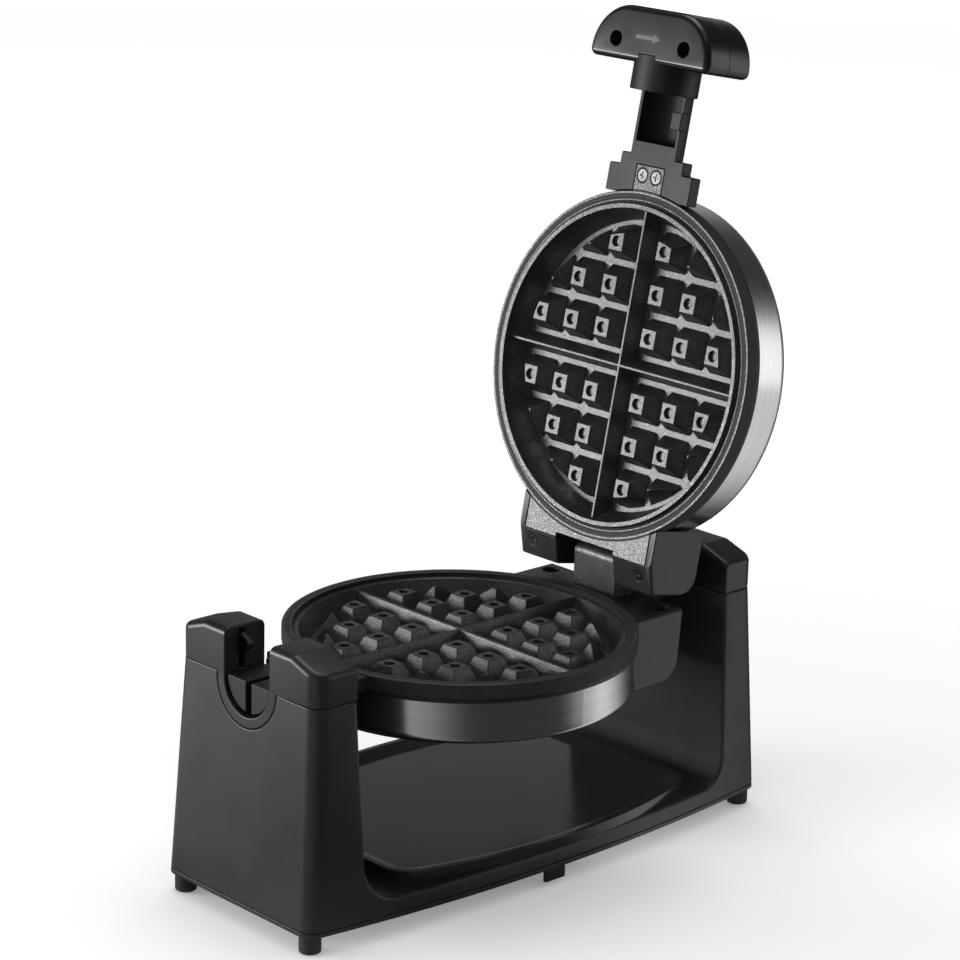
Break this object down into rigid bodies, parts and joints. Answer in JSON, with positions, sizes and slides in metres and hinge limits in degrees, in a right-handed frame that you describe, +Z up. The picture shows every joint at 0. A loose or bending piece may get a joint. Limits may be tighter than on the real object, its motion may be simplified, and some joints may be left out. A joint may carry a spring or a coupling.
{
  "type": "rotating waffle maker",
  "caption": "Flip-over waffle maker: two hinged round grid plates on a pivot shaft between the towers of a black stand, with a drip tray below.",
  "frame": {"origin": "on the table, under the middle of the stand", "axes": "+Z up, +X to the right seen from the grip side, +Y from the front tower with the handle notch to the rear tower with the shaft"},
  "size_m": [0.2, 0.3468, 0.4686],
  "materials": {
    "black_plastic": "satin",
    "cover_plastic": "satin",
    "heat_plastic": "matte",
    "tray_plastic": "gloss",
    "pale_plastic": "matte",
    "lens_plastic": "gloss",
    "rubber": "matte",
    "nonstick_casting": "satin",
    "brushed_steel": "brushed",
    "plain_steel": "satin",
    "screw_steel": "polished",
    "element_steel": "matte",
    "plain_aluminium": "satin",
    "brass": "satin"
  },
  "bodies": {
    "stand": {"base_shell": "black_plastic", "base_plate": "black_plastic", "base_screws": "screw_steel", "rubber_feet": "rubber", "front_tower_cap": "black_plastic", "rear_tower_cap": "black_plastic", "pawl_pin": "screw_steel", "shaft_bush": "brass", "bearing_plate": "plain_steel", "cord_gland": "rubber", "terminal_block": "pale_plastic"},
    "tray": {"drip_tray": "tray_plastic"},
    "latch": {"lock_pawl": "plain_steel"},
    "lower_head": {"lower_plate": "nonstick_casting", "lower_heat_ring": "heat_plastic", "lower_cover": "brushed_steel", "lower_cover_screws": "screw_steel", "lower_element": "element_steel", "lower_reflector": "plain_aluminium", "lower_thermostat": "pale_plastic", "thermal_fuse": "brass", "lower_hinge_cover": "cover_plastic", "lower_stem": "black_plastic", "lower_tongue_screws": "screw_steel", "pivot_shaft": "plain_steel", "retaining_clip": "plain_steel"},
    "upper_head": {"upper_plate": "nonstick_casting", "upper_heat_ring": "heat_plastic", "upper_cover": "brushed_steel", "upper_cover_screws": "screw_steel", "upper_element": "element_steel", "upper_reflector": "plain_aluminium", "upper_thermostat": "pale_plastic", "upper_hinge_cover": "cover_plastic", "hinge_blocks": "plain_steel", "hinge_pin": "plain_steel", "hinge_screws": "screw_steel", "handle_arm": "black_plastic", "upper_tongue_screws": "screw_steel", "grip_inner_shell": "black_plastic", "grip_outer_shell": "black_plastic", "grip_screws": "screw_steel", "indicator_lenses": "lens_plastic"}
  },
  "joints": [
    {"name": "tray_slide", "type": "slide", "parent": "stand", "child": "tray", "axis": [1, 0, 0], "range_m": [0, 0.16]},
    {"name": "head_flip", "type": "hinge", "parent": "stand", "child": "lower_head", "pos_m": [0, 0, 0.1357], "axis": [0, 1, 0], "range_deg": [0, 90]},
    {"name": "lid_hinge", "type": "hinge", "parent": "lower_head", "child": "upper_head", "pos_m": [0, 0.0989, 0.1538], "axis": [1, 0, 0], "range_deg": [0, 101.4]},
    {"name": "pawl", "type": "hinge", "parent": "stand", "child": "latch", "pos_m": [-0.024, -0.154, 0.141], "axis": [0, -1, 0], "range_deg": [0, 36]}
  ],
  "couplings": [
    {"joint": "pawl", "follows": "lid_hinge", "ratio": 0.355}
  ]
}
